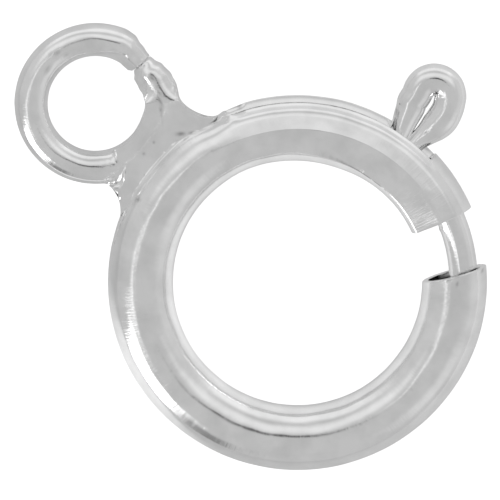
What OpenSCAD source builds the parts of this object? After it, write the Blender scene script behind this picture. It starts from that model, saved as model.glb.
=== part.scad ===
// Spring ring clasp, lying flat, in millimetres.
// The origin is the centre of the hoop, and +Z runs along the hoop's axis.
// Angles are counted from +X towards +Y. The bolt turns about +Z to open.

/* [Hoop] */
// Outer diameter of the hoop
hoop_d = 6; // [5:0.1:9]
// Outer diameter of the tube that the hoop is bent from
tube_d = 1.04; // [0.96:0.01:1.2]
// Wall of the tube
tube_wall = 0.1; // [0.06:0.01:0.12]
// Where the lower mouth lies on the hoop, degrees
mouth_low_deg = 3.3; // [-6:0.1:8]
// How far the lower mouth is cut out of square, degrees
mouth_low_lean = 11.2; // [-12:0.1:12]
// Where the upper mouth lies on the hoop, degrees
mouth_high_deg = 23.6; // [20:0.1:30]
// How far the upper mouth is cut out of square, degrees
mouth_high_lean = -0.3; // [-12:0.1:12]

/* [Slot for the trigger] */
// Room beside the legs, across the slot
slot_clear = 0.085; // [0.06:0.005:0.1]
// How far the slot sits above the middle of the tube
slot_rise = 0.05; // [0:0.01:0.05]
// Room between a leg and the slot's end
slot_end_gap = 0.16; // [0.05:0.01:0.2]

/* [Eyelet] */
// Where the eyelet stands on the hoop, degrees
eyelet_deg = 138.3; // [136:0.1:160]
// Inner diameter of the eyelet
eyelet_id = 1.5; // [1.2:0.05:2]
// Wire of the eyelet
eyelet_wire = 0.53; // [0.45:0.01:0.6]
// How deep the eyelet sits in the tube's wall
eyelet_bite = 0.01; // [0.005:0.005:0.04]
// Where the wire's two ends meet, degrees from the eyelet's outer end
seam_deg = -97; // [-110:1:110]
// Gap between the wire's two ends
seam_gap = 0.02; // [0.01:0.01:0.04]
// Thickness of each wire end where they meet
seam_neck_d = 0.36; // [0.3:0.01:0.42]
// Length over which each wire end tapers
seam_taper = 0.16; // [0.1:0.01:0.25]

/* [Solder] */
// Radius of the solder's hollow side towards the slot
solder_high_r = 0.45; // [0.25:0.01:0.5]
// Radius of the solder's hollow side away from the slot
solder_low_r = 0.33; // [0.25:0.01:0.5]
// Radius of the solder's hollow sides, seen across the hoop
solder_round_r = 0.42; // [0.38:0.01:0.5]
// Thickness of the solder where it leaves the tube
solder_tube_t = 0.84; // [0.7:0.01:0.9]
// Thickness of the solder where it meets the eyelet
solder_wire_t = 0.46; // [0.3:0.01:0.5]

/* [Bolt and trigger] */
// Wire of the bolt
bolt_d = 0.44; // [0.38:0.01:0.46]
// Running clearance between the bolt and the outer side of the bore
bolt_clear = 0.04; // [0.02:0.005:0.06]
// How far the bolt stands in the lower mouth
bolt_reach = 0.45; // [0.2:0.05:0.8]
// How far the bolt turns to open, degrees
travel_deg = 50; // [30:1:52]
// Where the trigger stands on the hoop, degrees
trigger_deg = 53.8; // [50:0.1:56]
// Height of the loop's centre above the tube
loop_rise = 0.64; // [0.6:0.01:0.9]
// Hole inside the loop's bend
loop_hole = 0.12; // [0.08:0.01:0.2]
// Thickness of the neck where it passes the slot
neck_d = 0.3; // [0.24:0.01:0.34]
// Offset of the neck from the trigger's middle, on the bolt's curve
neck_side = 0.2; // [0.16:0.01:0.24]
// Height of the elbow above the tube
elbow_rise = 0.36; // [0.32:0.01:0.4]
// Offset of the elbow from the trigger's middle
elbow_side = 0.36; // [0.3:0.01:0.4]
// Thickness of the other leg where it passes the slot
leg_d = 0.35; // [0.28:0.01:0.38]
// Offset of the other leg from the trigger's middle, on the bolt's curve
leg_side = 0.055; // [0.03:0.005:0.12]
// Length of the foot beyond the leg, inside the tube
foot_len = 0.35; // [0.3:0.01:0.5]

/* [Spring] */
// Wire of the spring
spring_wire = 0.09; // [0.07:0.01:0.11]
// Clearance between the spring and the bore
spring_clear = 0.035; // [0.03:0.005:0.06]
// Turns of the spring
spring_turns = 30; // [24:1:34]
// Gap between the spring and what it pushes on
spring_end_gap = 0.03; // [0.02:0.01:0.06]
// Where the spring's seat lies on the hoop, degrees
seat_deg = 200; // [180:1:230]
// Length of the seat along the tube
seat_len = 0.2; // [0.1:0.01:0.4]

/* [Hidden] */
$fn = 96;

silver = [0.82, 0.82, 0.83];
spring_steel = [0.62, 0.62, 0.64];
// Sides of the spring's wire, and steps along each of its turns
wire_sides = 6;
turn_steps = 14;
// How much the elbow's ball stands out of the wire
elbow_swell = 0.02;
// How much thinner the straight legs are than the bend, and how far they run into it
leg_shoulder = 0.015;
leg_lap = 0.06;
// How far a cutting shape runs past what it cuts
past = 0.1;
// How far the hollow sides of the solder cut into the tube and the eyelet
solder_sink = 0.02;

hoop_r = hoop_d / 2;
tube_r = tube_d / 2;
bore_r = tube_r - tube_wall;
// Radius of the tube's centreline
mid_r = hoop_r - tube_r;
// Radius of the bolt's centreline
bolt_r = mid_r + bore_r - bolt_clear - bolt_d / 2;

function arc_deg(len, r) = len / r * 180 / PI;
function on_circle(r, deg) = r * [cos(deg), sin(deg)];
function along(a, b) = (b - a) / norm(b - a);
function heading(v) = atan2(v.y, v.x);
// Where a line from point p touches the circle of radius r about c
function touch_deg(p, c, r, side) = heading(p - c) + side * acos(r / norm(p - c));

// The trigger, seen along Z
loop_r = (loop_hole + bolt_d) / 2;
loop_c = on_circle(hoop_r + loop_rise, trigger_deg);
neck_deg = trigger_deg - arc_deg(neck_side, bolt_r);
neck_p = on_circle(bolt_r, neck_deg);
elbow_p = on_circle(hoop_r + elbow_rise, trigger_deg - arc_deg(elbow_side, hoop_r + elbow_rise));
leg_deg = trigger_deg + arc_deg(leg_side, bolt_r);
leg_p = on_circle(bolt_r, leg_deg);
loop_from = touch_deg(elbow_p, loop_c, loop_r, 1);
loop_to = touch_deg(leg_p, loop_c, loop_r, -1) + 360;
loop_start = loop_c + on_circle(loop_r, loop_from);
leg_top = loop_c + on_circle(loop_r, loop_to);
straight_d = bolt_d - 2 * leg_shoulder;
// Where the leg passes the tube's outer side
leg_run = along(leg_p, leg_top);
leg_dot = leg_p * leg_run;
leg_slot = leg_p + (sqrt(leg_dot * leg_dot + hoop_r * hoop_r - bolt_r * bolt_r) - leg_dot) * leg_run;
// The leg keeps its taper down to its inner end
leg_end_d = leg_d - (straight_d - leg_d) * norm(leg_p - leg_slot) / norm(leg_top - leg_slot);
// Where the neck passes the tube's outer side
neck_run = along(neck_p, elbow_p);
neck_dot = neck_p * neck_run;
neck_slot = neck_p + (sqrt(neck_dot * neck_dot + hoop_r * hoop_r - bolt_r * bolt_r) - neck_dot) * neck_run;

// Ends of the bolt's curve
tip_deg = mouth_low_deg - arc_deg(bolt_reach, mid_r);
foot_deg = leg_deg + arc_deg(foot_len, bolt_r);

// The slot, from the neck at rest to the leg when open
slot_w = max(leg_d, neck_d) + 2 * slot_clear;
slot_from = heading(neck_slot) - arc_deg(neck_d / 2 + slot_end_gap, hoop_r);
slot_to = heading(leg_slot) + travel_deg + arc_deg(leg_d / 2 + slot_end_gap, hoop_r);

// The spring's room in the tube
seat_half = arc_deg(seat_len, mid_r) / 2;
spring_from = foot_deg + arc_deg(spring_end_gap + spring_wire / 2, mid_r);
spring_to = seat_deg - seat_half - arc_deg(spring_end_gap + spring_wire / 2, mid_r);
coil_r = bore_r - spring_clear - spring_wire / 2;

// The eyelet, along the line from the hoop's centre
eyelet_r = (eyelet_id + eyelet_wire) / 2;
eyelet_out = eyelet_id / 2 + eyelet_wire;
eyelet_x = hoop_r + eyelet_out - eyelet_bite;

// Centre of a hollow side of radius r that runs from the tube to the eyelet
function hollow_c(r) =
    let (a = hoop_r + r - solder_sink, b = eyelet_out + r - solder_sink)
    let (x = (a * a - b * b + eyelet_x * eyelet_x) / (2 * eyelet_x))
    [x, sqrt(a * a - x * x)];

// A round wire bent to a circle about Z, between two angles
module bent_wire(mid, r, from, to) {
    rotate([0, 0, from])
        rotate_extrude(angle = to - from)
            translate([mid, 0])
                circle(r);
}

// A straight round rod between two points of the XY plane
module rod(a, b, d1, d2) {
    translate([a.x, a.y, 0])
        rotate([0, 0, heading(b - a)])
            rotate([0, 90, 0])
                cylinder(h = norm(b - a), d1 = d1, d2 = d2);
}

// The part of the tube that is sawn out between the mouths
module mouth_cut() {
    low = on_circle(mid_r, mouth_low_deg);
    high = on_circle(mid_r, mouth_high_deg);
    low_run = on_circle(tube_d, mouth_low_deg + mouth_low_lean);
    high_run = on_circle(tube_d, mouth_high_deg + mouth_high_lean);
    linear_extrude(height = 2 * tube_d, center = true)
        polygon([low - low_run, low + low_run, high + high_run, high - high_run]);
}

// The long slot in the tube's outer side
module slot_cut() {
    rotate([0, 0, slot_from])
        rotate_extrude(angle = slot_to - slot_from)
            translate([mid_r, slot_rise - slot_w / 2])
                square([tube_r + past, slot_w]);
}

// The bore, all round but for the spring's seat
module bore_cut() {
    bent_wire(mid_r, bore_r, seat_deg + seat_half, seat_deg - seat_half + 360);
}

// The tapered ends of the eyelet's wire and the gap between them
module seam_cut() {
    neck = seam_neck_d / 2;
    edge = eyelet_wire / 2 + past;
    reach = seam_taper * (edge - neck) / (eyelet_wire / 2 - neck);
    rotate([0, 0, seam_deg])
        translate([eyelet_r, 0, 0])
            rotate([90, 0, 0]) {
                rotate_extrude()
                    polygon([[neck, 0], [edge, reach], [edge, -reach]]);
                cube([2 * edge, 2 * edge, seam_gap], center = true);
            }
}

// A bent ring of wire whose ends meet at the seam
module eyelet() {
    translate([eyelet_x, 0, 0])
        difference() {
            bent_wire(eyelet_r, eyelet_wire / 2, 0, 360);
            seam_cut();
        }
}

// What the solder leaves free beside it: a spool with a waist of radius r
module hollow_cut(c, r) {
    translate([c.x, c.y, 0])
        rotate_extrude()
            difference() {
                translate([0, -tube_d])
                    square([r + solder_round_r, 2 * tube_d]);
                translate([r + solder_round_r, 0])
                    circle(solder_round_r);
            }
}

// The solder between tube and eyelet, hollow on both sides
module solder() {
    low_c = hollow_c(solder_low_r);
    high_c = hollow_c(solder_high_r);
    low_tube = low_c * hoop_r / norm(low_c);
    high_tube = high_c * hoop_r / norm(high_c);
    ring_c = [eyelet_x, 0];
    low_ring = ring_c + eyelet_out * along(ring_c, low_c);
    high_ring = ring_c + eyelet_out * along(ring_c, high_c);
    difference() {
        intersection() {
            linear_extrude(height = 2 * tube_d, center = true)
                polygon([
                    low_tube * mid_r / hoop_r,
                    low_tube,
                    low_ring,
                    [high_ring.x, -high_ring.y],
                    [high_tube.x, -high_tube.y],
                    [high_tube.x, -high_tube.y] * mid_r / hoop_r
                ]);
            rotate([0, 0, -90])
                rotate_extrude(angle = 180)
                    polygon([
                        [mid_r, -solder_tube_t / 2],
                        [hoop_r - tube_r / 2, -solder_tube_t / 2],
                        [hoop_r + eyelet_wire / 2, -solder_wire_t / 2],
                        [eyelet_x, -solder_wire_t / 2],
                        [eyelet_x, solder_wire_t / 2],
                        [hoop_r + eyelet_wire / 2, solder_wire_t / 2],
                        [hoop_r - tube_r / 2, solder_tube_t / 2],
                        [mid_r, solder_tube_t / 2]
                    ]);
        }
        hollow_cut(low_c, solder_low_r);
        hollow_cut([high_c.x, -high_c.y], solder_high_r);
    }
}

// Tube, solder and eyelet in one
module hoop() {
    color(silver)
        difference() {
            union() {
                bent_wire(mid_r, tube_r, 0, 360);
                rotate([0, 0, eyelet_deg]) {
                    eyelet();
                    solder();
                }
            }
            bore_cut();
            mouth_cut();
            slot_cut();
        }
}

// One wire: the curved bolt, the neck, the thumb's loop, the leg and the foot
module bolt() {
    color(silver)
        union() {
            bent_wire(bolt_r, bolt_d / 2, tip_deg, foot_deg);
            rod(neck_p, elbow_p, neck_d, neck_d);
            translate([elbow_p.x, elbow_p.y, 0])
                sphere(bolt_d / 2 + elbow_swell);
            rod(elbow_p, loop_start + leg_lap * along(elbow_p, loop_start), straight_d, straight_d);
            translate([loop_c.x, loop_c.y, 0])
                bent_wire(loop_r, bolt_d / 2, loop_from, loop_to);
            rod(leg_top + leg_lap * leg_run, leg_p, straight_d, leg_end_d);
        }
}

// Point k of the ring at step i of the spring's wire
function coil_point(i, k) =
    let (n = spring_turns * turn_steps)
    let (bend = spring_from + (spring_to - spring_from) * i / n)
    let (turn = 360 * i / turn_steps)
    let (side = 360 * k / wire_sides)
    let (out = coil_r + spring_wire / 2 * cos(side))
    let (reach = mid_r + out * cos(turn))
    let (lead = arc_deg(spring_wire / 2 * sin(side), mid_r))
    [reach * cos(bend + lead), reach * sin(bend + lead), out * sin(turn)];

// A coil whose axis follows the tube, drawn as one closed wire
module spring() {
    rings = spring_turns * turn_steps + 1;
    points = [
        for (i = [0:rings - 1])
            for (k = [0:wire_sides - 1])
                coil_point(i, k)
    ];
    sides = [
        for (i = [0:rings - 2])
            for (k = [0:wire_sides - 1])
                let (next = (k + 1) % wire_sides)
                [
                    i * wire_sides + k,
                    i * wire_sides + next,
                    (i + 1) * wire_sides + next,
                    (i + 1) * wire_sides + k
                ]
    ];
    first = [for (k = [wire_sides - 1:-1:0]) k];
    last = [for (k = [0:wire_sides - 1]) (rings - 1) * wire_sides + k];
    color(spring_steel)
        polyhedron(points, concat(sides, [first, last]), convexity = 10);
}

hoop();
bolt();
spring();
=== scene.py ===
# Spring ring clasp in polished silver, lying flat on a pale table.
import math
import bpy
import bmesh
from mathutils import Matrix, Vector, noise


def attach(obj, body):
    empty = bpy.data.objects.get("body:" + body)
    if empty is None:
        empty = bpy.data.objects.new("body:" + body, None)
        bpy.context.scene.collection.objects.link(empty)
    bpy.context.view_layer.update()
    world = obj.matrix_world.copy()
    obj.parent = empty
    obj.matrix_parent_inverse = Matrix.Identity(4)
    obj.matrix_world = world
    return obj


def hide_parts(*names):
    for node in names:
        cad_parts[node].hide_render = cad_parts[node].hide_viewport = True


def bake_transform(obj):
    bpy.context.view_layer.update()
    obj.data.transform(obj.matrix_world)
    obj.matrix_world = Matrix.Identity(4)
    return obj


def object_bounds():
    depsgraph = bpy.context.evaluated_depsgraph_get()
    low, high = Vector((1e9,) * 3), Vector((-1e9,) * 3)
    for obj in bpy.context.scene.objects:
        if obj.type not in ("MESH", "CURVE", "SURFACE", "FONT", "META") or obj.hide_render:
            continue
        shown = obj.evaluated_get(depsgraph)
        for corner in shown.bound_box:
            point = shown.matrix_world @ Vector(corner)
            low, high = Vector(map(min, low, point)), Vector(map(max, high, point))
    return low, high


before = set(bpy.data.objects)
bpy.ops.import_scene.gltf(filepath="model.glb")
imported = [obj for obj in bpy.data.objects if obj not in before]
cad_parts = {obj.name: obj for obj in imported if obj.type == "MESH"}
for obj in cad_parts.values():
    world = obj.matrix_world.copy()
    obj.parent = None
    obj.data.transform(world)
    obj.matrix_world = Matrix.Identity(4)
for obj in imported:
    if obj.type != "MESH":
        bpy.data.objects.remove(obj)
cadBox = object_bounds()
print("frame loaded")

mm = 0.001  # shapes are drawn in millimetres and made metres at the end


def polar(radius, deg, height=0.0):
    return Vector((radius * math.cos(math.radians(deg)), radius * math.sin(math.radians(deg)), height))


def ease(x, low, high):
    t = min(max((x - low) / (high - low), 0.0), 1.0)
    return t * t * (3 - 2 * t)


def swell(x, middle, width):
    return math.exp(-((x - middle) / width) ** 2)


def between(x, low, lowFull, highFull, high):
    # 1 between the two inner marks, eased to 0 at the outer ones
    return ease(x, low, lowFull) * (1 - ease(x, highFull, high))


def readOff(table, x):
    # value at x from a short list of (x, value) pairs, eased between them
    if x <= table[0][0]:
        return table[0][1]
    for (x0, y0), (x1, y1) in zip(table, table[1:]):
        if x <= x1:
            return y0 + (y1 - y0) * ease(x, x0, x1)
    return table[-1][1]


def curve(a, runA, b, runB, s):
    # smooth from a (s = 0) to b (s = 1), leaving and arriving with the given runs
    return (a * (2 * s ** 3 - 3 * s ** 2 + 1) + runA * (s ** 3 - 2 * s ** 2 + s)
            + b * (3 * s ** 2 - 2 * s ** 3) + runB * (s ** 3 - s ** 2))


# camera
cameraView = {
    "tilt": 7.4,  # degrees off straight down, towards the trigger
    "distance": 260.0,
    "frameWidth": 7.895,
    "aim": (-0.750, 0.5095, 0.0),
    "sensor": 36,
    "clip": (0.01, 10),  # metres
}


def placeCamera():
    tilt = math.radians(cameraView["tilt"])
    back = Vector((0, math.sin(tilt), math.cos(tilt)))
    up = Vector((0, math.cos(tilt), -math.sin(tilt)))
    data = bpy.data.cameras.new("camera")
    data.sensor_width = cameraView["sensor"]
    data.lens = cameraView["sensor"] * cameraView["distance"] / cameraView["frameWidth"]
    data.dof.use_dof = False
    data.clip_start, data.clip_end = cameraView["clip"]
    camera = bpy.data.objects.new("camera", data)
    bpy.context.scene.collection.objects.link(camera)
    turn = Matrix((Vector((1, 0, 0)), up, back)).transposed().to_4x4()
    place = Vector(cameraView["aim"]) + back * cameraView["distance"]
    camera.matrix_world = Matrix.Translation(place * mm) @ turn
    bpy.context.scene.camera = camera


placeCamera()
print("camera placed")


# small tools for the nodes
def addNode(tree, kind, at=(0, 0), **settings):
    node = tree.nodes.new(kind)
    node.location = at
    for name, value in settings.items():
        setattr(node, name, value)
    return node


def join(tree, *links):
    # each link is a node and its output, then a node and its input
    for start, given, end, taken in links:
        tree.links.new(start.outputs[given], end.inputs[taken])


def setRange(node, ends):
    # a Map Range's ends: from and to of what it reads, then of what it gives
    for name, value in zip(("From Min", "From Max", "To Min", "To Max"), ends):
        node.inputs[name].default_value = value


# light and table
studio = {
    "fill": 0.53,
    "darkest": 0.03,
    "backdrop": 1.0,  # what the camera sees past the table
    # azimuth, height above the table, width, height, softness (all in degrees), brightness
    "softboxes": [
        (218.5, 19, 9.5, 20, 4, 3.0),
        (205, 46, 2.5, 15, 3, 0.9),
        (172, 71, 4, 3, 2.5, 0.6),
        (187, 60, 3, 4, 2.5, 0.65),
        (90, 13, 42, 14, 9, 0.32),
        (86, 57, 38, 13, 10, 0.28),
        (8, 12, 45, 22, 14, 0.08),
        (155, 25, 20, 35, 15, 0.05),
        (315, 30, 12, 15, 9, 0.13),
        (45, 5, 10, 8, 6, 0.12),
        (243, 10, 6, 14, 6, -0.35),
        (68, 79, 6.5, 3.8, 1.5, -0.62),
    ],
}

paperLook = {
    "size": 0.4,
    "colour": (0.35, 0.35, 0.35, 1),
    "roughness": 0.9,
    "seen": 0.92,  # its white to the camera
    # its light in the silver: from and to in metres, then their brightness
    "inside": (0.0012, 0.0029, 0.52, 0.0),
    "slope": (-0.006, 0.006, 0.24, 0.44),
    "slopeAlong": (0.8, 0.6, 0),
    "patch": (0.0014, 0.0029, 0.44, 0.0),
    "patchAt": (-0.00872, -0.00566, 0),
    "patchTurn": 213,  # degrees
    "patchStretch": (4, 1, 1),
}


def softboxGroup():
    # one soft-edged rectangle of light, seen in its direction from the clasp
    group = bpy.data.node_groups.new("softbox", "ShaderNodeTree")
    group.interface.new_socket("Direction", in_out="INPUT", socket_type="NodeSocketVector")
    for name in ("Turn", "Rise", "Width", "Height", "Softness", "Brightness"):
        group.interface.new_socket(name, in_out="INPUT", socket_type="NodeSocketFloat")
    group.interface.new_socket("Light", in_out="OUTPUT", socket_type="NodeSocketFloat")
    entry = addNode(group, "NodeGroupInput", (-900, 0))
    leave = addNode(group, "NodeGroupOutput", (900, 0))
    aside = addNode(group, "ShaderNodeVectorRotate", (-700, 0), rotation_type="Z_AXIS")
    down = addNode(group, "ShaderNodeVectorRotate", (-500, 0), rotation_type="Y_AXIS")
    parts = addNode(group, "ShaderNodeSeparateXYZ", (-300, 0))
    join(group, (entry, "Direction", aside, "Vector"), (entry, "Turn", aside, "Angle"),
         (aside, "Vector", down, "Vector"), (entry, "Rise", down, "Angle"),
         (down, "Vector", parts, "Vector"))
    masks = []
    for row, (axis, size) in enumerate((("Y", "Width"), ("Z", "Height"))):
        y = -200 * row
        reach = addNode(group, "ShaderNodeMath", (-100, y), operation="ARCSINE")
        side = addNode(group, "ShaderNodeMath", (50, y), operation="ABSOLUTE")
        low = addNode(group, "ShaderNodeMath", (50, y - 80), operation="SUBTRACT")
        high = addNode(group, "ShaderNodeMath", (50, y - 140), operation="ADD")
        edge = addNode(group, "ShaderNodeMapRange", (250, y), interpolation_type="SMOOTHSTEP")
        edge.inputs["To Min"].default_value = 1
        edge.inputs["To Max"].default_value = 0
        join(group, (parts, axis, reach, 0), (reach, 0, side, 0))
        for step in (low, high):
            join(group, (entry, size, step, 0), (entry, "Softness", step, 1))
        join(group, (side, 0, edge, "Value"), (low, 0, edge, "From Min"),
             (high, 0, edge, "From Max"))
        masks.append(edge)
    ahead = addNode(group, "ShaderNodeMath", (250, 200), operation="GREATER_THAN")
    ahead.inputs[1].default_value = 0
    join(group, (parts, "X", ahead, 0))
    both = addNode(group, "ShaderNodeMath", (450, 0), operation="MULTIPLY")
    front = addNode(group, "ShaderNodeMath", (600, 0), operation="MULTIPLY")
    bright = addNode(group, "ShaderNodeMath", (750, 0), operation="MULTIPLY")
    join(group, (masks[0], "Result", both, 0), (masks[1], "Result", both, 1), (both, 0, front, 0),
         (ahead, 0, front, 1), (front, 0, bright, 0), (entry, "Brightness", bright, 1),
         (bright, 0, leave, "Light"))
    return group


def lightStudio():
    world = bpy.data.worlds.new("studio")
    world.use_nodes = True
    bpy.context.scene.world = world
    tree = world.node_tree
    tree.nodes.clear()
    where = addNode(tree, "ShaderNodeTexCoord", (-1200, 0))
    group = softboxGroup()
    light = None
    for row, (turn, rise, width, height, softness, bright) in enumerate(studio["softboxes"]):
        box = addNode(tree, "ShaderNodeGroup", (-800, -220 * row), node_tree=group)
        join(tree, (where, "Generated", box, "Direction"))
        for name, deg in (("Turn", -turn), ("Rise", rise), ("Width", width),
                          ("Height", height), ("Softness", softness)):
            box.inputs[name].default_value = math.radians(deg)
        box.inputs["Brightness"].default_value = bright
        total = addNode(tree, "ShaderNodeMath", (-500, -220 * row), operation="ADD")
        total.inputs[1].default_value = studio["fill"]
        if light is not None:
            join(tree, (light, 0, total, 1))
        join(tree, (box, "Light", total, 0))
        light = total
    floor = addNode(tree, "ShaderNodeMath", (-300, 0), operation="MAXIMUM")
    floor.inputs[1].default_value = studio["darkest"]
    join(tree, (light, 0, floor, 0))
    room = addNode(tree, "ShaderNodeBackground", (-100, 0))
    join(tree, (floor, 0, room, "Strength"))
    plain = addNode(tree, "ShaderNodeBackground", (-100, -200))
    plain.inputs["Strength"].default_value = studio["backdrop"]
    for sky in (room, plain):
        sky.inputs["Color"].default_value = (1, 1, 1, 1)
    seen = addNode(tree, "ShaderNodeLightPath", (-100, 400))
    mix = addNode(tree, "ShaderNodeMixShader", (150, 0))
    out = addNode(tree, "ShaderNodeOutputWorld", (350, 0))
    join(tree, (seen, "Is Camera Ray", mix, 0), (room, 0, mix, 1), (plain, 0, mix, 2),
         (mix, 0, out, "Surface"))


def layTable():
    bm = bmesh.new()
    bmesh.ops.create_grid(bm, x_segments=2, y_segments=2, size=paperLook["size"])
    bmesh.ops.translate(bm, vec=(0, 0, cadBox[0].z), verts=bm.verts)
    mesh = bpy.data.meshes.new("table")
    bm.to_mesh(mesh)
    bm.free()
    table = bpy.data.objects.new("table", mesh)
    bpy.context.scene.collection.objects.link(table)
    paper = bpy.data.materials.new("whitePaper")
    paper.use_nodes = True
    tree = paper.node_tree
    skin = tree.nodes["Principled BSDF"]
    skin.inputs["Base Color"].default_value = paperLook["colour"]
    skin.inputs["Roughness"].default_value = paperLook["roughness"]
    skin.inputs["Specular IOR Level"].default_value = 0.0
    glow = addNode(tree, "ShaderNodeEmission", (0, -300))
    glow.inputs["Strength"].default_value = paperLook["seen"]
    seen = addNode(tree, "ShaderNodeLightPath", (-300, -300))
    lit = addNode(tree, "ShaderNodeMixShader", (200, -300))
    # painted light, seen only in the silver: the table glows lighter inside the hoop, and towards the upper
    # right
    dark = addNode(tree, "ShaderNodeEmission", (0, -450))
    place = addNode(tree, "ShaderNodeTexCoord", (-1100, -500))
    away = addNode(tree, "ShaderNodeVectorMath", (-900, -450), operation="LENGTH")
    inside = addNode(tree, "ShaderNodeMapRange", (-700, -450), interpolation_type="SMOOTHSTEP")
    across = addNode(tree, "ShaderNodeVectorMath", (-900, -750), operation="DOT_PRODUCT")
    across.inputs[1].default_value = paperLook["slopeAlong"]
    slope = addNode(tree, "ShaderNodeMapRange", (-700, -750))
    setRange(inside, paperLook["inside"])
    setRange(slope, paperLook["slope"])
    most = addNode(tree, "ShaderNodeMath", (-400, -600), operation="MAXIMUM")
    join(tree, (place, "Object", away, 0), (place, "Object", across, 0),
         (away, "Value", inside, "Value"), (across, "Value", slope, "Value"), (inside, 0, most, 0),
         (slope, 0, most, 1))
    # and a painted pool of light where the key light falls
    spread = addNode(tree, "ShaderNodeMapping", (-1100, -1000), vector_type="TEXTURE")
    spread.inputs["Location"].default_value = paperLook["patchAt"]
    spread.inputs["Rotation"].default_value = (0, 0, math.radians(paperLook["patchTurn"]))
    spread.inputs["Scale"].default_value = paperLook["patchStretch"]
    near = addNode(tree, "ShaderNodeVectorMath", (-900, -1000), operation="LENGTH")
    patch = addNode(tree, "ShaderNodeMapRange", (-700, -1000), interpolation_type="SMOOTHSTEP")
    setRange(patch, paperLook["patch"])
    total = addNode(tree, "ShaderNodeMath", (-200, -600), operation="ADD")
    join(tree, (place, "Object", spread, "Vector"), (spread, "Vector", near, 0),
         (near, "Value", patch, "Value"), (most, 0, total, 0), (patch, 0, total, 1),
         (total, 0, dark, "Strength"))
    both = addNode(tree, "ShaderNodeAddShader", (400, 0))
    join(tree, (seen, "Is Camera Ray", lit, 0), (dark, 0, lit, 1), (glow, 0, lit, 2),
         (skin, 0, both, 0), (lit, 0, both, 1), (both, 0, tree.nodes["Material Output"], "Surface"))
    mesh.materials.append(paper)


lightStudio()
layTable()
bpy.context.scene.view_settings.view_transform = "Standard"
bpy.context.scene.view_settings.look = "None"
print("studio lit")


# silver
wearLook = {
    "lineDetail": 3.0,
    "lineRoughness": 0.6,
    "bandPace": (0.2, 0.7, 0.7),  # against the lines
    "bandDetail": 2.0,
    "bandShare": 0.8,
    "smudgeScale": 2200.0,
    "smudgeDetail": 4.0,
    "tarnished": (0.32, 0.62),  # smudge where the tarnish is full, and where it's gone
    "roughened": (0.3, 0.7),
    "pitScale": 2600.0,
    "pitted": (0.84, 1.0, 0.0, 0.05),  # which cells have a pit, and how wide it gets
    "pitDepth": -4.0,
}


def wearGroup():
    # polishing lines, soft waves, pits and tarnish for every metal here
    group = bpy.data.node_groups.new("wear", "ShaderNodeTree")
    for name in ("Run", "Place"):
        group.interface.new_socket(name, in_out="INPUT", socket_type="NodeSocketVector")
    for name in ("Height", "Smudge", "Pit"):
        group.interface.new_socket(name, in_out="OUTPUT", socket_type="NodeSocketFloat")
    entry = addNode(group, "NodeGroupInput", (-1000, 0))
    leave = addNode(group, "NodeGroupOutput", (900, 0))

    lines = addNode(group, "ShaderNodeTexNoise", (-600, 300))
    lines.inputs["Scale"].default_value = 1.0
    lines.inputs["Detail"].default_value = wearLook["lineDetail"]
    lines.inputs["Roughness"].default_value = wearLook["lineRoughness"]
    join(group, (entry, "Run", lines, "Vector"))
    slower = addNode(group, "ShaderNodeVectorMath", (-800, 0), operation="MULTIPLY")
    slower.inputs[1].default_value = wearLook["bandPace"]
    bands = addNode(group, "ShaderNodeTexNoise", (-600, 0))
    bands.inputs["Scale"].default_value = 1.0
    bands.inputs["Detail"].default_value = wearLook["bandDetail"]
    join(group, (entry, "Run", slower, 0), (slower, 0, bands, "Vector"))
    smudge = addNode(group, "ShaderNodeTexNoise", (-600, -300))
    smudge.inputs["Scale"].default_value = wearLook["smudgeScale"]
    smudge.inputs["Detail"].default_value = wearLook["smudgeDetail"]
    join(group, (entry, "Place", smudge, "Vector"))
    holes = addNode(group, "ShaderNodeTexVoronoi", (-600, -600))
    holes.inputs["Scale"].default_value = wearLook["pitScale"]
    join(group, (entry, "Place", holes, "Vector"))
    chosen = addNode(group, "ShaderNodeSeparateColor", (-400, -750))
    join(group, (holes, "Color", chosen, 0))
    few = addNode(group, "ShaderNodeMapRange", (-200, -750))
    setRange(few, wearLook["pitted"])
    join(group, (chosen, 0, few, "Value"))
    pit = addNode(group, "ShaderNodeMapRange", (0, -600), interpolation_type="SMOOTHSTEP")
    pit.inputs["From Min"].default_value = 0.0
    pit.inputs["To Min"].default_value = 1.0
    pit.inputs["To Max"].default_value = 0.0
    join(group, (holes, "Distance", pit, "Value"), (few, 0, pit, "From Max"))

    waved = addNode(group, "ShaderNodeMath", (200, 200), operation="MULTIPLY_ADD")
    waved.inputs[1].default_value = wearLook["bandShare"]
    join(group, (bands, 0, waved, 0), (lines, 0, waved, 2))
    dented = addNode(group, "ShaderNodeMath", (400, 200), operation="MULTIPLY_ADD")
    dented.inputs[1].default_value = wearLook["pitDepth"]
    join(group, (pit, 0, dented, 0), (waved, 0, dented, 2), (dented, 0, leave, "Height"),
         (smudge, 0, leave, "Smudge"), (pit, 0, leave, "Pit"))
    return group


wear = wearGroup()


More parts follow.
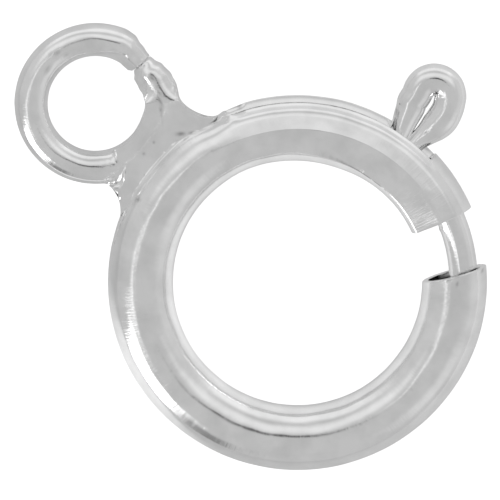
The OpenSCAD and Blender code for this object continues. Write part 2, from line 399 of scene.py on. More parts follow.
def metal(name, look):
    made = bpy.data.materials.new(name)
    made.use_nodes = True
    tree = made.node_tree
    skin = tree.nodes["Principled BSDF"]
    skin.inputs["Metallic"].default_value = 1
    run = addNode(tree, "ShaderNodeAttribute", (-1100, 0), attribute_name="straight")
    scaled = addNode(tree, "ShaderNodeMapping", (-900, 0))
    scaled.inputs["Scale"].default_value = look["lines"]
    place = addNode(tree, "ShaderNodeTexCoord", (-900, -300))
    worn = addNode(tree, "ShaderNodeGroup", (-700, 0), node_tree=wear)
    join(tree, (run, "Vector", scaled, "Vector"), (scaled, "Vector", worn, "Run"),
         (place, "Object", worn, "Place"))
    tint = addNode(tree, "ShaderNodeValToRGB", (-400, 200))
    greys = (look["tarnish"], look["grey"])
    for spot, at, grey in zip(tint.color_ramp.elements, wearLook["tarnished"], greys):
        spot.position = at
        spot.color = (grey, grey, grey, 1)
    join(tree, (worn, "Smudge", tint, 0))
    # darkened in random pits, and where the marks carry grime or painted shade (the slot's open end)
    dirtAndShade = addNode(tree, "ShaderNodeMix", (-150, 200), data_type="RGBA")
    dirtAndShade.inputs[7].default_value = (look["dirtAndShade"], look["dirtAndShade"], look["dirtAndShade"], 1)  # 6 and 7 are its colours
    grimeAndShade = addNode(tree, "ShaderNodeAttribute", (-700, 450), attribute_name="grimeAndShade")
    dirtAndShadeMask = addNode(tree, "ShaderNodeMath", (-400, 450), operation="MAXIMUM")
    join(tree, (worn, "Pit", dirtAndShadeMask, 0), (grimeAndShade, "Fac", dirtAndShadeMask, 1), (dirtAndShadeMask, 0, dirtAndShade, 0),
         (tint, 0, dirtAndShade, 6), (dirtAndShade, 2, skin, "Base Color"))
    rough = addNode(tree, "ShaderNodeMapRange", (-400, -50))
    setRange(rough, (*wearLook["roughened"], *look["rough"]))
    join(tree, (worn, "Smudge", rough, "Value"), (rough, 0, skin, "Roughness"))
    bump = addNode(tree, "ShaderNodeBump", (-400, -350))
    bump.inputs["Strength"].default_value = 1.0
    bump.inputs["Distance"].default_value = look["depth"]
    join(tree, (worn, "Height", bump, "Height"), (bump, 0, skin, "Normal"))
    return made


silver = metal("hoopSilver", {
    "grey": 0.97, "tarnish": 0.86, "dirtAndShade": 0.25, "rough": (0.09, 0.15),
    "lines": (50, 1.8, 1.8), "depth": 1.8e-6,
})


# hoop: tube, solder and eyelet in one skin
tube = {
    "radius": 0.52,
    "wall": 0.1,
    "bend": 2.48,
    "outer": 3.0,
    "sides": 88,
    # where each stretch ends, degrees on the hoop, and its steps
    "start": 23.6,
    "stretches": [(43.2, 22), (112.8, 140), (114.6, 3), (160.5, 91), (352.0, 147), (363.3, 22)],
    "skinFrom": (0.44, 0.5),  # farther from the centreline than this it's skin, not inner wall
    "skinDeep": 0.03,  # the solder's hole is cut in what lies this near the surface
    "slot": (43.2, 112.8),
    "slotFade": 3,  # degrees past its ends where its forms fade out
    "slotSides": (-6, 9),  # its lips, counted in sides from the outer line
    "lipSharp": 1.0,  # edges over this many radians are rounded
    "lipRound": 0.012,
    "lipReach": (6, 45, 75),  # degrees round the tube: the slot's middle, then full and fading
    "lipTurn": (2.2, -0.3, -10, 20),  # degrees the far and the near lip are moved round, from and to
    "lipWave": (0.16, 0.01, 3.1, 0.9),  # pace along and round the tube, cut and height
    "lipRidges": [(52.5, 1.5, 0.004), (39.2, 1.0, -0.005)],
    # the rows of sides by the near lip, as spun and as moved
    "lipRows": [(36.8, 36.8), (40.9, 39.2), (45.0, 44.8), (49.1, 50.2), (53.2, 52.5), (57.3, 57.3)],
    "crestRows": [(81.8, 81.8), (85.9, 88.0), (90.0, 89.2), (94.1, 94.1)],
    "shoulderRows": [(130.9, 130.9), (135.0, 136.8), (139.1, 138.4), (143.2, 143.2)],
    "filed": (44.6, 7.8),  # the flat filed along the near lip: its middle and half its width
    "farLip": (0.036, -24, 14),  # thicker by this much inside: height, middle, spread
    "topFacet": (75.0, 13.4),  # the tube is a little flat beside its crest, from mouth to solder
    "topSpan": (20, 24, 105, 125),  # degrees on the hoop, fading in and out
    "sharpRows": [(21, 118), (33, 60), (34, 60)],  # crest and shoulder, up to this turn
    "pressed": (107.0, 14.0, 137.6, 180.0),  # flank by the upper mouth: middle, half width, shoulder, end
    "pressedSpan": (20, 23, 50, 88),
    "dents": [  # degrees on the hoop and round the tube, their spread, height in mm
        (118.0, 0, 5.0, 45, -0.075),
        (76.0, 180, 26.0, 60, 0.045),
        (111.5, 38, 1.6, 12, 0.030),
    ],
    "lumpPace": 0.05,
    "lumps": [(0.0045, 1.7), (0.0012, 5.3)],  # height and fineness
    "lowered": 0.0065,  # so that no lump stands out of the tube
    "mouthLean": (-0.3, 11.2),  # how far the upper and the lower mouth are askew, degrees
    "leanOver": 10,  # degrees on which the upper one's lean fades out
    "leanFrom": 350,  # where the lower one's begins
}

eyelet = {
    "radius": 0.265,
    "outerLine": 1.28,
    "grainFrom": 20,  # keeps its polishing lines apart from the tube's
    "turn": 138.3,
    "away": 4.27,
    "bend": 1.015,
    "sides": 48,
    "seam": 41.3,
    "seamGap": 1.1,  # degrees
    # clockwise from the seam: degrees and steps
    "stretches": [(33.0, 22), (94.0, 83), (231.9, 116)],
    "pinched": (142, 35),  # degrees round the wire
    "pinchSpan": (8, 22, 54, 95),
    "lump": (0.99, 0.012, 0.03, 2.3),  # base, height, pace, fineness
    "lid": (0.03, 0.03, 0.03),
    # degrees on the ring, then the radius of its inner line, its outer line, and half its thickness
    "inner": [(-60, 0.75), (-20, 0.755), (-1.4, 0.782), (9.5, 0.758), (19, 0.724), (31, 0.718),
              (38.5, 0.775), (40.6, 0.805), (42.4, 0.765), (46, 0.735), (52, 0.735), (60, 0.75)],
    "outer": [(-20, 1.28), (2, 1.33), (12, 1.322), (21, 1.29), (30, 1.235), (37, 1.165), (41, 1.148),
              (44, 1.152), (52, 1.19), (61, 1.262), (68, 1.28)],
    "thick": [(8, 0.265), (28, 0.245), (40, 0.185), (43, 0.185), (58, 0.245), (70, 0.265)],
}

solder = {
    "tubeHole": (114.6, 160.5, 8),  # from, to, and sides each way from the outer line
    "ringHole": (33.0, 127.0, 12),  # the same on the eyelet, clockwise from the seam
    "rounding": 0.9,
    # the mesh that follows the rounding: reach in holes' halves, most in degrees, rounds
    "follow": (1.35, 2.2, 150, 40),
    "rows": 32,
    # how far the skin runs on along the tube and the eyelet before it turns
    "tubeTop": 0.05,
    "tubeSide": 0.85,
    "ringTop": 0.30,
    "ringSide": 0.85,
    "sewnBack": 2,  # vertices by which the eyelet's rim is turned back
    "sewnWithin": 0.0005,
    "creaseAside": 0.3,  # the rim is a crease where it runs along the tube more than this
    "softRows": 5,
    "softFrom": (3.1, 115.3),  # only beyond this radius or this turn
    "softened": 90,
}

filed = {  # the flat on top of the solder and the eyelet's two arms
    "height": 0.245,
    "at": 2.1,  # y of that height
    "slope": 0.035,
    "above": 0.02,
    "fromEyelet": 2.2,  # nearer to its centre than this
    "fromHoop": 2.86,  # farther from its centre than this
    "facing": (0.12, 0.35),  # how far up the skin has to face
    "top": 92,  # degrees round the eyelet's wire; past it come the rows down to its hole
    "rim": 157.5,  # the last of them
    "armEdge": (1.26, 1.34),  # from the eyelet's centre
    "arms": (-73, -66, 2, 16),  # filed on the eyelet itself, degrees, fading in and out
    "sector": (-100, -85, 45, 60),  # and on the solder
    "least": 0.01,
    "tubeEdge": 2.97,  # inside it nothing is lowered
    "evenFrom": 3.0,
    "evened": 8,
    "creased": 0.3,  # edges over this many radians stay crisp
}

# marks on the upper side: x, y, direction in degrees, spread along and across it, height in mm, darkening
# (grime in pits and scratches, painted shade at the slot's open end)
hoopMarks = [
    (-2.708, 1.690, 100, 0.09, 0.05, 0.020, 0),
    (-2.730, 1.712, 76, 0.22, 0.03, 0.012, 0),
    (-2.850, 1.610, 60, 0.04, 0.02, 0, 0.7),
    (-2.171, 2.900, -83, 0.24, 0.018, -0.008, 0.6),
    (-2.297, 3.297, -75, 0.07, 0.022, -0.006, 0.7),
    (-1.840, 2.389, 4, 0.07, 0.030, -0.006, 0.7),
    (-1.666, 2.405, 8, 0.06, 0.024, -0.004, 0.5),
    (-2.266, 2.254, 0, 0.022, 0.022, -0.004, 0.4),
    (-2.424, 2.071, 0, 0.026, 0.024, -0.004, 0.35),
    (-2.519, 1.354, 20, 0.040, 0.022, -0.004, 0.6),
    (-3.940, 3.410, 60, 0.07, 0.03, -0.010, 0.3),
    (-3.860, 3.540, 50, 0.06, 0.025, 0.006, 0),
    (-3.780, 3.680, 40, 0.05, 0.025, -0.008, 0.4),
    (-3.690, 3.750, 20, 0.06, 0.020, 0.005, 0),
    (-3.655, 3.640, 30, 0.05, 0.020, -0.008, 0.3),
    (-3.900, 3.640, 50, 0.04, 0.020, -0.008, 0.3),
    (-3.893, 1.945, 20, 0.030, 0.025, 0, 0.6),
    (-0.924, 2.797, 10, 0.040, 0.025, 0, 0.7),
    # painted shade: the slot's dark open end by the trigger, laid on the lip as darkening
    (2.100, 2.100, -43, 0.090, 0.030, 0, 0.8),
    (2.045, 1.524, -27, 0.09, 0.022, 0.005, 0),
    (2.518, 0.036, 80, 0.040, 0.022, -0.008, 0.4),
    (2.384, 0.090, 20, 0.030, 0.022, -0.006, 0.5),
    (2.921, 0.216, 70, 0.035, 0.020, -0.006, 0.5),
]

markFacing = 0.25  # marks are pressed where the skin faces up by this much
markReach = 2.5  # as far as this many spreads
gapMiddle = 12  # turns on the hoop are counted on from here


def sectionRing(bm, grain, bend, radius, sides, start):
    # a round section that stands upright on the X axis, turned to its start
    upright = Matrix.Rotation(math.pi / 2, 4, "X")
    verts = bmesh.ops.create_circle(bm, segments=sides, radius=radius, matrix=upright)["verts"]
    for v in verts:
        v[grain] = Vector((0, v.co.x, v.co.z))
    bmesh.ops.translate(bm, vec=(bend, 0, 0), verts=verts)
    bmesh.ops.rotate(bm, cent=(0, 0, 0), matrix=Matrix.Rotation(math.radians(start), 3, "Z"), verts=verts)
    return list({e for v in verts for e in v.link_edges})


def spinOn(bm, edges, degrees, steps):
    # carries the last section on round the Z axis
    verts = list({v for e in edges for v in e.verts})
    made = bmesh.ops.spin(bm, geom=verts + edges, cent=(0, 0, 0), axis=(0, 0, 1), dvec=(0, 0, 0),
                          angle=math.radians(degrees), steps=steps, use_merge=False, use_duplicate=False)
    return [g for g in made["geom_last"] if isinstance(g, bmesh.types.BMEdge)]


def around(co, bend):
    # degrees on the hoop (12 to 372), degrees round the tube, distance from its centreline
    out = math.hypot(co.x, co.y) - bend
    turn = (math.degrees(math.atan2(co.y, co.x)) - gapMiddle) % 360 + gapMiddle
    return turn, math.degrees(math.atan2(co.z, out)), math.hypot(out, co.z)


def turned(a, b):
    return (a - b + 180) % 360 - 180


def flatDepth(half, off):
    # distance from the tube's centreline to a flat, off degrees from the flat's middle
    return tube["radius"] * math.cos(math.radians(half)) / math.cos(math.radians(off))


def shiftRow(rows, about, share):
    # brings the rows of sides beside a crease close to it
    if rows[0][0] < about < rows[-1][0]:
        about += (readOff(rows, about) - about) * share
    return about


def tubePoint(turn, about, depth):
    # where a point of the evenly spun tube lies on the worn one
    radius = tube["radius"]
    onSkin = ease(depth, *tube["skinFrom"])
    low, high = tube["slot"]
    inSlot = between(turn, low - tube["slotFade"], low, high, high + tube["slotFade"])
    if inSlot:
        middle, full, gone = tube["lipReach"]
        nearLips = 1 - ease(abs(about - middle), full, gone)
        about = shiftRow(tube["lipRows"], about, inSlot)
        # the filed flat along the near lip, with a groove and a ridge beside it
        flat, half = tube["filed"]
        if abs(about - flat) < half:
            depth += (flatDepth(half, about - flat) - radius) * inSlot * onSkin
        ridges = sum(height * swell(about, side, spread) for side, spread, height in tube["lipRidges"])
        depth += ridges * inSlot * onSkin
        thick, side, spread = tube["farLip"]
        inner = (radius - depth) / tube["wall"]
        depth -= thick * min(max(inner, 0), 1) * swell(about, side, spread) * inSlot
        far, near, low, high = tube["lipTurn"]
        about += (far + (near - far) * ease(about, low, high)) * inSlot * nearLips
        alongPace, roundPace, cut, height = tube["lipWave"]
        wave = noise.noise(Vector((turn * alongPace, about * roundPace, cut)))
        about += height * wave * inSlot * nearLips
    # the flank that is pressed flat beside the upper mouth
    flat, half, shoulder, end = tube["pressed"]
    byMouth = between(turn, *tube["pressedSpan"]) * onSkin
    if byMouth and flat - half < about < end:
        about = shiftRow(tube["shoulderRows"], about, byMouth)
        if about < shoulder:
            pressed = flatDepth(half, about - flat)
        else:
            top = flatDepth(half, shoulder - flat)
            pressed = radius + (top - radius) * ((end - about) / (end - shoulder)) ** 2
        depth += (pressed - radius) * byMouth
    flat, half = tube["topFacet"]
    onTop = between(turn, *tube["topSpan"]) * onSkin
    if onTop:
        about = shiftRow(tube["crestRows"], about, onTop)
        if abs(about - flat) < half:
            depth += (flatDepth(half, about - flat) - radius) * onTop
    for where, side, spread, sideSpread, height in tube["dents"]:
        depth += height * swell(turned(turn, where), 0, spread) * swell(turned(about, side), 0, sideSpread)
    side = math.radians(about)
    spot = Vector((turn * tube["lumpPace"], math.cos(side), math.sin(side)))
    depth += sum(height * noise.noise(spot * fine) for height, fine in tube["lumps"]) - tube["lowered"]
    out, up = depth * math.cos(side), depth * math.sin(side)
    first, last = tube["mouthLean"]
    lean = math.tan(math.radians(first)) * (1 - ease(turn, tube["start"], tube["start"] + tube["leanOver"]))
    lean += math.tan(math.radians(last)) * ease(turn, tube["leanFrom"], tube["stretches"][-1][0])
    turn += math.degrees(lean * out / (tube["bend"] + out))
    return polar(tube["bend"] + out, turn, up)


def onTube(turn, about):
    return tubePoint(turn, about, tube["radius"])


def ringPoint(turn, about):
    # a point on the eyelet's skin: degrees on the ring, degrees round its wire from the outer line
    inner, outer = readOff(eyelet["inner"], turn), readOff(eyelet["outer"], turn)
    middle, half = (inner + outer) / 2, (outer - inner) / 2
    side = math.radians(about)
    base, height, pace, fine = eyelet["lump"]
    lump = base + height * noise.noise(Vector((turn * pace, math.cos(side), math.sin(side))) * fine)
    # pinched towards the hole beside the seam
    flat, width = eyelet["pinched"]
    off = abs(abs(turned(about, 0)) - flat)
    if off < width:
        pinch = between(turn, *eyelet["pinchSpan"])
        lump += (math.cos(math.radians(width)) / math.cos(math.radians(off)) - 1) * pinch
    out, up = math.cos(side), math.sin(side)
    centre = polar(eyelet["away"], eyelet["turn"])
    return centre + polar(middle + half * lump * out, turn, readOff(eyelet["thick"], turn) * lump * up)


def cutHole(bm, faces, inHole):
    gone = {f for f in faces if inHole(f.calc_center_median())}
    left = {e for f in gone for e in f.edges if not all(g in gone for g in e.link_faces)}
    order = [next(iter(left)).verts[0]]
    while left:
        step = next(e for e in order[-1].link_edges if e in left)
        left.discard(step)
        order.append(step.other_vert(order[-1]))
    bmesh.ops.delete(bm, geom=list(gone), context="FACES")
    return order[:-1]


def startAt(order, flat, first, second):
    # turns the loop so that it starts at one corner and runs towards another
    begin = min(range(len(order)), key=lambda k: (flat[order[k]] - first).length)
    order = order[begin:] + order[:begin]
    ahead, back = order[5], order[-5]  # far enough on to tell the two ways apart
    if (flat[back] - second).length < (flat[ahead] - second).length:
        order = order[:1] + order[:0:-1]
    return order


def roundOff(flat, loop, middle, half):
    # bends the square hole's rim to a round one, and lets the mesh round it follow
    bent = solder["rounding"]
    for v in loop:
        a, b = (flat[v].x - middle.x) / half.x, (flat[v].y - middle.y) / half.y
        flat[v] = Vector((middle.x + half.x * a * (1 - bent + bent * math.sqrt(1 - b * b / 2)),
                          middle.y + half.y * b * (1 - bent + bent * math.sqrt(1 - a * a / 2))))
    held = set(loop)
    wide, high, most, rounds = solder["follow"]
    wide, high = half.x * wide, min(half.y * high, most)
    near = [v for v in flat if v not in held and all(e.other_vert(v) in flat for e in v.link_edges)
            and abs(flat[v].x - middle.x) < wide and abs(flat[v].y - middle.y) < high]
    for _ in range(rounds):
        moved = {}
        for v in near:
            beside = [flat[e.other_vert(v)] for e in v.link_edges]
            moved[v] = sum(beside, Vector((0, 0))) / len(beside)
        flat.update(moved)


def inwardLean(point, flat, loop, middle, scale):
    # for each vertex of a rim, the skin's direction into the hole and how much of it runs sideways
    step = 0.2  # mm
    leans = []
    for k, v in enumerate(loop):
        run = flat[loop[(k + 1) % len(loop)]] - flat[loop[k - 1]]
        run = Vector((run.x * scale.x, run.y * scale.y))
        inward = Vector((-run.y, run.x)).normalized()
        toMiddle = middle - flat[v]
        if inward.x * toMiddle.x * scale.x + inward.y * toMiddle.y * scale.y < 0:
            inward = -inward
        near = point(flat[v].x, flat[v].y)
        ahead = point(flat[v].x + step * inward.x / scale.x, flat[v].y + step * inward.y / scale.y)
        leans.append(((ahead - near).normalized(), inward.x * inward.x))
    return leans


def evenOut(bm, verts, rounds, sideways=True):
    # smooths without shrinking
    for _ in range(rounds):
        for factor in (0.5, -0.51):
            bmesh.ops.smooth_vert(bm, verts=verts, factor=factor,
                                  use_axis_x=sideways, use_axis_y=sideways, use_axis_z=True)


def softenWeb(bm, web, tubeLoop, tubeLean, ringLoop):
    # evens out the solder's corners; the crease along the tube's top and underside stays
    crease = {v for v, (_, aside) in zip(tubeLoop, tubeLean) if aside < solder["creaseAside"]}
    near = {v for v in tubeLoop if v not in crease} | {v for v in ringLoop if v.is_valid}
    for _ in range(solder["softRows"]):
        near |= {e.other_vert(v) for v in near for e in v.link_edges} - crease
    radius, turn = solder["softFrom"]
    soft = [v for v in near | web if v.co.length > radius or around(v.co, tube["bend"])[0] > turn]
    evenOut(bm, soft, solder["softened"])


def fileFlat(bm, ringFlat):
    # the solder's top is filed nearly flat, over both arms of the eyelet up to its hole
    bmesh.ops.recalc_face_normals(bm, faces=bm.faces)
    bm.normal_update()
    centre = polar(eyelet["away"], eyelet["turn"])
    shares = {}
    for v in bm.verts:
        out = v.co - centre
        reach, onHoop = math.hypot(out.x, out.y), math.hypot(v.co.x, v.co.y)
        if v.co.z < filed["above"] or reach > filed["fromEyelet"] or onHoop < filed["fromHoop"]:
            continue
        turn = math.degrees(math.atan2(out.y, out.x))
        about = ringFlat[v].y if v in ringFlat else 0
        if about < filed["top"]:
            share = ease(v.normal.z, *filed["facing"])
        else:
            share = float(about < filed["rim"] + 1)
        onArm = 1 - ease(reach, *filed["armEdge"])
        share *= 1 - onArm * (1 - between(turn, *filed["arms"]))
        share *= between(turn, *filed["sector"])
        if share > filed["least"]:
            shares[v] = share
    for v, share in shares.items():
        plane = filed["height"] + filed["slope"] * (v.co.y - filed["at"])
        if math.hypot(v.co.x, v.co.y) < filed["tubeEdge"]:
            plane = max(plane, v.co.z)
        v.co.z += (plane - v.co.z) * share
    inner = [v for v in shares if math.hypot(v.co.x, v.co.y) > filed["evenFrom"]
             and all(e.other_vert(v) in shares for e in v.link_edges)]
    evenOut(bm, inner, filed["evened"], sideways=False)
    bm.normal_update()
    for e in {e for v in shares for e in v.link_edges}:
        if len(e.link_faces) == 2 and e.calc_face_angle() > filed["creased"]:
            e.smooth = False


def pressMarks(bm, marks):
    # each mark also darkens the colour, for grime in pits and scratches, and as painted shade at the slot's
    # open end
    grimeAndShade = bm.verts.layers.float.new("grimeAndShade")
    bmesh.ops.recalc_face_normals(bm, faces=bm.faces)
    bm.normal_update()
    upper = [v for v in bm.verts if v.normal.z > markFacing]
    for x, y, turn, long, wide, height, dark in marks:
        ahead = polar(1, turn)
        for v in upper:
            dx, dy = v.co.x - x, v.co.y - y
            a, b = dx * ahead.x + dy * ahead.y, dy * ahead.x - dx * ahead.y
            if abs(a) < markReach * long and abs(b) < markReach * wide:
                share = swell(a, 0, long) * swell(b, 0, wide)
                v.co += v.normal * height * share
                v[grimeAndShade] = max(v[grimeAndShade], dark * share)


def makeHoop():
    bm = bmesh.new()
    grain = bm.verts.layers.float_vector.new("straight")
    mark = bm.verts.layers.int.new("mark")

    # the tube, open along the slot, and its wall
    edges = sectionRing(bm, grain, tube["bend"], tube["radius"], tube["sides"], tube["start"])
    at = tube["start"]
    for end, steps in tube["stretches"]:
        edges = spinOn(bm, edges, end - at, steps)
        at = end
    side = 360 / tube["sides"]
    low, high = (k * side for k in tube["slotSides"])
    slotFrom, slotTo = tube["slot"]
    gone = []
    for f in bm.faces:
        turn, about, _ = around(f.calc_center_median(), tube["bend"])
        if slotFrom < turn < slotTo and low < about < high:
            gone.append(f)
    bmesh.ops.delete(bm, geom=gone, context="FACES")
    bmesh.ops.recalc_face_normals(bm, faces=bm.faces)
    bmesh.ops.solidify(bm, geom=bm.faces[:], thickness=tube["wall"])
    sharp = [e for e in bm.edges if len(e.link_faces) == 2 and e.calc_face_angle() > tube["lipSharp"]]
    bmesh.ops.bevel(bm, geom=sharp, offset=tube["lipRound"], offset_type="OFFSET", segments=2,
                    profile=0.5, affect="EDGES", material=-1, clamp_overlap=True)
    print("tube spun and walled")

    # the hole under the solder, and the tube's final shape
    tubeFlat, depths = {}, {}
    for v in bm.verts:
        turn, about, depth = around(v.co, tube["bend"])
        tubeFlat[v], depths[v] = Vector((turn, about)), depth
    first, last, reach = solder["tubeHole"]
    reach *= side
    skinFloor = tube["radius"] - tube["skinDeep"]

    def underSolder(co):
        turn, about, depth = around(co, tube["bend"])
        return first < turn < last and abs(about) < reach and depth > skinFloor

    tubeLoop = cutHole(bm, bm.faces, underSolder)
    tubeFlat = {v: f for v, f in tubeFlat.items() if v.is_valid}
    skin = {v: f for v, f in tubeFlat.items() if depths[v] > skinFloor}
    tubeMiddle, tubeHalf = Vector(((first + last) / 2, 0)), Vector(((last - first) / 2, reach))
    roundOff(skin, tubeLoop, tubeMiddle, tubeHalf)
    tubeFlat.update(skin)
    tubeLoop = startAt(tubeLoop, tubeFlat, tubeMiddle + tubeHalf,
                       tubeMiddle + Vector((-tubeHalf.x, tubeHalf.y)))
    for v, f in tubeFlat.items():
        v.co = tubePoint(f.x, f.y, depths[v])
        v[grain] = Vector((math.radians(f.x) * tube["outer"], v[grain].y, v[grain].z))
    for row, end in tube["sharpRows"]:
        onRow = {v for v in skin if abs(skin[v].y - row * side) < 0.5}  # degrees
        for v in (v for v in onRow if skin[v].x < end):
            for e in v.link_edges:
                if e.other_vert(v) in onRow:
                    e.smooth = False

    # the eyelet: a ring of wire from seam to seam
    before = set(bm.verts)
    edges = sectionRing(bm, grain, eyelet["bend"], eyelet["radius"], eyelet["sides"],
                        eyelet["seam"] - eyelet["seamGap"] / 2)
    ends = [edges]
    for degrees, steps in eyelet["stretches"]:
        edges = spinOn(bm, edges, -degrees, steps)
    ends.append(edges)
    ringVerts = [v for v in bm.verts if v not in before]
    ringFlat = {}
    for v in ringVerts:
        turn, about, _ = around(v.co, eyelet["bend"])
        down = (eyelet["seam"] - turn) % 360
        run = math.radians(down) * eyelet["outerLine"] + eyelet["grainFrom"]
        v[grain] = Vector((run, v[grain].y, v[grain].z))
        ringFlat[v] = Vector((down, about))
    ringFaces = [f for f in bm.faces if f.verts[0] in ringFlat]
    first, last, reach = solder["ringHole"]
    reach *= 360 / eyelet["sides"]

    def underFillet(co):
        turn, about, _ = around(co, eyelet["bend"])
        return first < (eyelet["seam"] - turn) % 360 < last and abs(about) < reach

    ringLoop = cutHole(bm, ringFaces, underFillet)
    ringFlat = {v: f for v, f in ringFlat.items() if v.is_valid}
    ringMiddle, ringHalf = Vector(((first + last) / 2, 0)), Vector(((last - first) / 2, reach))
    roundOff(ringFlat, ringLoop, ringMiddle, ringHalf)
    ringLoop = startAt(ringLoop, ringFlat, ringMiddle + ringHalf,
                       ringMiddle + Vector((-ringHalf.x, ringHalf.y)))

    def onRing(down, about):
        return ringPoint(turned(eyelet["seam"] - down, 0), about)

    for v, f in ringFlat.items():
        v.co = onRing(f.x, f.y)
    for edges in ends:
        lid = bmesh.ops.contextual_create(bm, geom=edges)["faces"]
        for inset in eyelet["lid"]:
            bmesh.ops.inset_region(bm, faces=lid, thickness=inset, use_even_offset=False)
        bmesh.ops.poke(bm, faces=lid)
    print("eyelet spun", len(tubeLoop), "and", len(ringLoop), "vertices round the holes")

    # the solder's skin, drawn out of the tube's hole and sewn to the eyelet's
    shift = (len(ringLoop) - len(tubeLoop)) // 2 - solder["sewnBack"]
    ringLoop = ringLoop[shift:] + ringLoop[:shift]
    perDegree = math.radians(1)
    tubeScale = Vector((tube["outer"] * perDegree, tube["radius"] * perDegree))
    ringScale = Vector((eyelet["outerLine"] * perDegree, eyelet["radius"] * perDegree))
    tubeLean = inwardLean(onTube, tubeFlat, tubeLoop, tubeMiddle, tubeScale)
    ringLean = inwardLean(onRing, ringFlat, ringLoop, ringMiddle, ringScale)
    paths = []
    for k, v in enumerate(tubeLoop):
        v[mark] = k + 1
        (outOf, aside), (into, ringAside) = tubeLean[k], ringLean[k]
        start = outOf * (solder["tubeTop"] + (solder["tubeSide"] - solder["tubeTop"]) * aside)
        end = -into * (solder["ringTop"] + (solder["ringSide"] - solder["ringTop"]) * ringAside)
        paths.append((v.co.copy(), start, ringLoop[k].co.copy(), end))
    loopSet = set(tubeLoop)
    edges = [e for e in bm.edges if all(v in loopSet for v in e.verts) and len(e.link_faces) == 1]
    web = []
    for row in range(1, solder["rows"] + 1):
        made = bmesh.ops.extrude_edge_only(bm, edges=edges)["geom"]
        edges = [g for g in made if isinstance(g, bmesh.types.BMEdge) and len(g.link_faces) == 1]
        for v in (g for g in made if isinstance(g, bmesh.types.BMVert)):
            v.co = curve(*paths[v[mark] - 1], row / solder["rows"])
            web.append(v)
    last = [v for v in web if v.link_faces and any(e.is_boundary for e in v.link_edges)]
    bmesh.ops.remove_doubles(bm, verts=last + ringLoop, dist=solder["sewnWithin"])
    softenWeb(bm, {v for v in web if v.is_valid}, tubeLoop, tubeLean, ringLoop)
    fileFlat(bm, ringFlat)
    pressMarks(bm, hoopMarks)
    finishPiece(bm, "hoop_skin", silver, "hoop_body", "hoop")


def finishPiece(bm, name, material, body, node):
    bmesh.ops.scale(bm, vec=(mm, mm, mm), verts=bm.verts)
    bmesh.ops.recalc_face_normals(bm, faces=bm.faces)
    for f in bm.faces:
        f.smooth = True
    mesh = bpy.data.meshes.new(name)
    bm.to_mesh(mesh)
    bm.free()
    piece = bpy.data.objects.new(name, mesh)
    bpy.context.scene.collection.objects.link(piece)
    mesh.materials.append(material)
    if body:
        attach(piece, body)
    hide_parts(node)
    count = sum(len(p.vertices) - 2 for p in mesh.polygons)
    print(name, "made,", count, "triangles")
    return piece


makeHoop()


# bolt: one bent wire with the thumb's loop
bolt = {
    "radius": 0.226,
    "bend": 2.622,
    "sides": 56,
    "ends": (-7.1, 62.6),
    "steps": 90,
    "endRound": 0.07,
    "endSteps": 6,
    "endDegrees": 2,
    "endLid": (0.05, 0.05),
    # the trigger: x and y, half its width in the hoop's plane, half its height
    "trigger": [
        (1.705, 1.994, 0.150, 0.150), (1.808, 2.142, 0.150, 0.150), (1.919, 2.261, 0.160, 0.152),
        (2.039, 2.360, 0.194, 0.165), (2.160, 2.465, 0.241, 0.195), (2.276, 2.585, 0.261, 0.214),
        (2.369, 2.755, 0.254, 0.220), (2.411, 2.937, 0.253, 0.220), (2.411, 2.965, 0.253, 0.220),
        (2.376, 3.094, 0.253, 0.220), (2.283, 3.188, 0.253, 0.220), (2.155, 3.223, 0.253, 0.220),
        (2.028, 3.188, 0.253, 0.220), (1.934, 3.094, 0.251, 0.220), (1.879, 2.977, 0.244, 0.218),
        (1.811, 2.874, 0.240, 0.212), (1.783, 2.778, 0.233, 0.208), (1.713, 2.611, 0.208, 0.195),
        (1.626, 2.388, 0.174, 0.175), (1.513, 2.157, 0.166, 0.166),
    ],
    "triggerStep": 0.022,
    "triggerLid": (0.04, 0.04),
    "grainFrom": 40,
}

boltMarks = [
    (2.225, 0.835, 20, 0.05, 0.05, 0.030, 0.6),
    (1.555, 2.723, 95, 0.08, 0.025, -0.016, 0.5),
    (2.037, 2.404, 36, 0.09, 0.016, -0.006, 0.5),
]


def sweep(bm, grain, mark, line, sides, lidSteps):
    # a wire through a line of (place, across, up, half width, half height, run), closed at both ends
    ring = bmesh.ops.create_circle(bm, segments=sides, radius=1)["verts"]
    for k, v in enumerate(ring):
        v[mark] = k
    edges = list({e for v in ring for e in v.link_edges})
    ends = [edges]
    for k, (place, across, up, wide, high, run) in enumerate(line):
        if k:
            made = bmesh.ops.extrude_edge_only(bm, edges=edges)["geom"]
            ring = [g for g in made if isinstance(g, bmesh.types.BMVert)]
            edges = [g for g in made if isinstance(g, bmesh.types.BMEdge) and len(g.link_faces) == 1]
        for v in ring:
            side = 2 * math.pi * v[mark] / sides
            a, b = wide * math.cos(side), high * math.sin(side)
            v.co = place + across * a + up * b
            v[grain] = Vector((run, a, b))
    ends.append(edges)
    for edges in ends:
        lid = bmesh.ops.contextual_create(bm, geom=edges)["faces"]
        for inset in lidSteps:
            bmesh.ops.inset_region(bm, faces=lid, thickness=inset, use_even_offset=True)
        bmesh.ops.poke(bm, faces=lid)


def flowThrough(points, step):
    # smooth line through rows of numbers whose first two are the place
    lengths = [0.0]
    for a, b in zip(points, points[1:]):
        lengths.append(lengths[-1] + math.dist(a[:2], b[:2]))
    count = round(lengths[-1] / step)
    rows, k = [], 0
    for i in range(count + 1):
        s = lengths[-1] * i / count
        while k < len(points) - 2 and s > lengths[k + 1]:
            k += 1
        before, after = max(k - 1, 0), min(k + 2, len(points) - 1)
        span = lengths[k + 1] - lengths[k]
        u = (s - lengths[k]) / span
        row = []
        for c, (a, b) in enumerate(zip(points[k], points[k + 1])):
            slopeA = (b - points[before][c]) / (lengths[k + 1] - lengths[before])
            slopeB = (points[after][c] - a) / (lengths[after] - lengths[k])
            row.append(curve(a, span * slopeA, b, span * slopeB, u))
        rows.append(row + [s])
    return rows


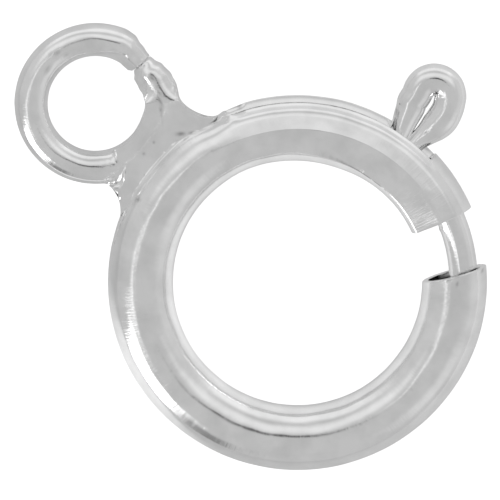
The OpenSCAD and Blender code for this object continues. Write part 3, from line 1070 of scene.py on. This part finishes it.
def makeBolt():
    bm = bmesh.new()
    grain = bm.verts.layers.float_vector.new("straight")
    mark = bm.verts.layers.int.new("mark")
    up = Vector((0, 0, 1))
    bend, radius, roundEnd = bolt["bend"], bolt["radius"], bolt["endRound"]
    first, last = bolt["ends"]
    ends = []
    for k in range(bolt["endSteps"] + 1):
        a = math.radians(90 * k / bolt["endSteps"])
        back = math.degrees(roundEnd * (1 - math.cos(a)) / bend)
        ends.append((back, radius - roundEnd * (1 - math.sin(a))))
    steps, inset = bolt["steps"], bolt["endDegrees"]
    spots = [(first + back, size) for back, size in ends]
    spots += [(first + inset + k * (last - first - 2 * inset) / steps, radius) for k in range(steps + 1)]
    spots += [(last - back, size) for back, size in reversed(ends)]
    line = []
    for deg, size in spots:
        line.append((polar(bend, deg), polar(1, deg), up, size, size, math.radians(deg) * bend))
    sweep(bm, grain, mark, line, bolt["sides"], bolt["endLid"])

    rows = flowThrough(bolt["trigger"], bolt["triggerStep"])
    line = []
    for k, (x, y, wide, high, run) in enumerate(rows):
        ahead, back = rows[min(k + 1, len(rows) - 1)], rows[max(k - 1, 0)]
        along = Vector((ahead[0] - back[0], ahead[1] - back[1], 0)).normalized()
        line.append((Vector((x, y, 0)), along.cross(up), up, wide, high, bolt["grainFrom"] + run))
    sweep(bm, grain, mark, line, bolt["sides"], bolt["triggerLid"])
    pressMarks(bm, boltMarks)
    finishPiece(bm, "bolt_wire", boltSilver, "bolt_body", "bolt")


boltSilver = metal("boltSilver", {
    "grey": 0.96, "tarnish": 0.86, "dirtAndShade": 0.25, "rough": (0.09, 0.15),
    "lines": (45, 2.2, 2.2), "depth": 1.2e-6,
})
makeBolt()


# spring in the tube
spring = {
    "wire": 0.045,
    "coil": 0.34,
    "turns": 30,
    "steps": 24,
    "sides": 8,
    "from": 64.3,  # at the bolt's foot
    "to": 196.0,  # at its seat
    "travel": 50.0,
    "evenOpen": 0.75,  # share of coils set so that they lie evenly when the bolt is drawn back
    "sought": 0.01,  # degrees between the places tried for a coil
    "grainFrom": 80,
}


def makeSpring():
    bm = bmesh.new()
    grain = bm.verts.layers.float_vector.new("straight")
    mark = bm.verts.layers.int.new("mark")
    foot, seat = polar(tube["bend"], spring["from"]), polar(tube["bend"], spring["to"])
    span, travel = spring["to"] - spring["from"], spring["travel"]

    def share(deg):
        # part of the coils that lie before this place
        t = (polar(tube["bend"], deg) - seat).dot(foot - seat) / (foot - seat).length_squared
        t = min(max(t, 0), 1)
        moved = deg - spring["from"] - travel * (1 - t * t * (3 - 2 * t))
        even = spring["evenOpen"]
        return (1 - even) * (deg - spring["from"]) / span + even * moved / (span - travel)

    total = spring["turns"] * spring["steps"]
    line, deg = [], spring["from"]
    for i in range(total + 1):
        while deg < spring["to"] and share(deg) < i / total:
            deg += spring["sought"]
        turn = 2 * math.pi * i / spring["steps"]
        out = polar(1, deg)
        across = out * math.cos(turn) + Vector((0, 0, 1)) * math.sin(turn)
        line.append((polar(tube["bend"], deg) + across * spring["coil"], across, polar(1, deg + 90),
                     spring["wire"], spring["wire"], spring["grainFrom"] + turn * spring["coil"]))
    sweep(bm, grain, mark, line, spring["sides"], ())
    piece = finishPiece(bm, "spring_coil", springSteel, None, "spring")
    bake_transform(piece)


springSteel = metal("springSteel", {
    "grey": 0.62, "tarnish": 0.50, "dirtAndShade": 0.25, "rough": (0.22, 0.34),
    "lines": (3, 40, 40), "depth": 8e-7,
})
makeSpring()
print("spring wound")
